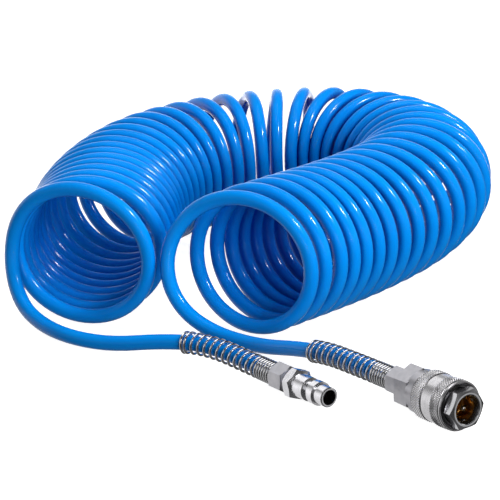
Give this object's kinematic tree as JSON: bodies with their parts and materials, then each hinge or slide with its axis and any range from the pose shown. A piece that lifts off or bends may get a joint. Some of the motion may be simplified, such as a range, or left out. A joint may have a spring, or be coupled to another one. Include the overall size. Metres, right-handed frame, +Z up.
{
  "type": "coiled air hose",
  "caption": "Polyurethane spiral air hose laid in a horseshoe, with a male quick plug and a ball-lock coupler, each behind a wire bend guard.",
  "frame": {"origin": "on the floor under the middle of the two metal fittings", "axes": "+X is the direction both fittings point, away from the hose; +Z is up; the coil lies towards -X and +Y"},
  "size_m": [0.4447, 0.3547, 0.0802],
  "materials": {
    "hose_blue": "glossy translucent polyurethane",
    "guard_wire": "bright plated spring wire",
    "plated_steel": "satin nickel plate over machined steel",
    "polished_steel": "polished nickel plate",
    "sleeve_steel": "satin nickel plate, knurled bands",
    "ring_steel": "dark spring steel",
    "ball_steel": "polished hardened steel",
    "brass": "machined brass",
    "black_rubber": "nitrile rubber"
  },
  "bodies": {
    "hose_and_fittings": {"hose_coil_right": "hose_blue", "hose_coil_back": "hose_blue", "hose_coil_left": "hose_blue", "hose_tail_coupler": "hose_blue", "hose_tail_plug": "hose_blue", "coupler_spring_guard": "guard_wire", "plug_spring_guard": "guard_wire", "plug_body": "plated_steel", "plug_clamp_nut": "plated_steel", "coupler_clamp_nut": "plated_steel", "coupler_adapter": "plated_steel", "coupler_front_body": "polished_steel", "seal_carrier": "brass", "plug_seal": "black_rubber", "valve_spring": "guard_wire", "valve_guide": "brass", "body_seal": "black_rubber", "retaining_ring": "ring_steel", "sleeve_spring": "guard_wire"},
    "sleeve_washer": {"thrust_washer": "ring_steel"},
    "sleeve": {"locking_sleeve": "sleeve_steel"},
    "valve": {"valve_poppet": "brass", "valve_seal": "black_rubber"},
    "ball_1": {"locking_ball_1": "ball_steel"},
    "ball_2": {"locking_ball_2": "ball_steel"},
    "ball_3": {"locking_ball_3": "ball_steel"},
    "ball_4": {"locking_ball_4": "ball_steel"},
    "ball_5": {"locking_ball_5": "ball_steel"},
    "ball_6": {"locking_ball_6": "ball_steel"}
  },
  "joints": [
    {"name": "sleeve_slide", "type": "slide", "parent": "hose_and_fittings", "child": "sleeve_washer", "axis": [-1, 0, 0], "range_m": [0, 0.0045], "stiffness_N_per_m": 1200, "springref_m": -0.004, "deforming": ["sleeve_spring"]},
    {"name": "sleeve_turn", "type": "hinge", "parent": "sleeve_washer", "child": "sleeve", "pos_m": [0.0694, 0.0199, 0.0125], "axis": [1, 0, 0], "continuous": true},
    {"name": "valve_slide", "type": "slide", "parent": "hose_and_fittings", "child": "valve", "axis": [-1, 0, 0], "range_m": [0, 0.0035], "stiffness_N_per_m": 700, "springref_m": -0.003, "deforming": ["valve_spring"]},
    {"name": "ball_1_slide", "type": "slide", "parent": "hose_and_fittings", "child": "ball_1", "axis": [0, 0, 1], "range_m": [0, 0.0015]},
    {"name": "ball_2_slide", "type": "slide", "parent": "hose_and_fittings", "child": "ball_2", "axis": [0, -0.866, 0.5], "range_m": [0, 0.0015]},
    {"name": "ball_3_slide", "type": "slide", "parent": "hose_and_fittings", "child": "ball_3", "axis": [0, -0.866, -0.5], "range_m": [0, 0.0015]},
    {"name": "ball_4_slide", "type": "slide", "parent": "hose_and_fittings", "child": "ball_4", "axis": [0, 0, -1], "range_m": [0, 0.0015]},
    {"name": "ball_5_slide", "type": "slide", "parent": "hose_and_fittings", "child": "ball_5", "axis": [0, 0.866, -0.5], "range_m": [0, 0.0015]},
    {"name": "ball_6_slide", "type": "slide", "parent": "hose_and_fittings", "child": "ball_6", "axis": [0, 0.866, 0.5], "range_m": [0, 0.0015]}
  ],
  "couplings": [
    {"joint": "ball_1_slide", "follows": "sleeve_slide", "ratio": 0.32222},
    {"joint": "ball_2_slide", "follows": "sleeve_slide", "ratio": 0.32222},
    {"joint": "ball_3_slide", "follows": "sleeve_slide", "ratio": 0.32222},
    {"joint": "ball_4_slide", "follows": "sleeve_slide", "ratio": 0.32222},
    {"joint": "ball_5_slide", "follows": "sleeve_slide", "ratio": 0.32222},
    {"joint": "ball_6_slide", "follows": "sleeve_slide", "ratio": 0.32222}
  ]
}
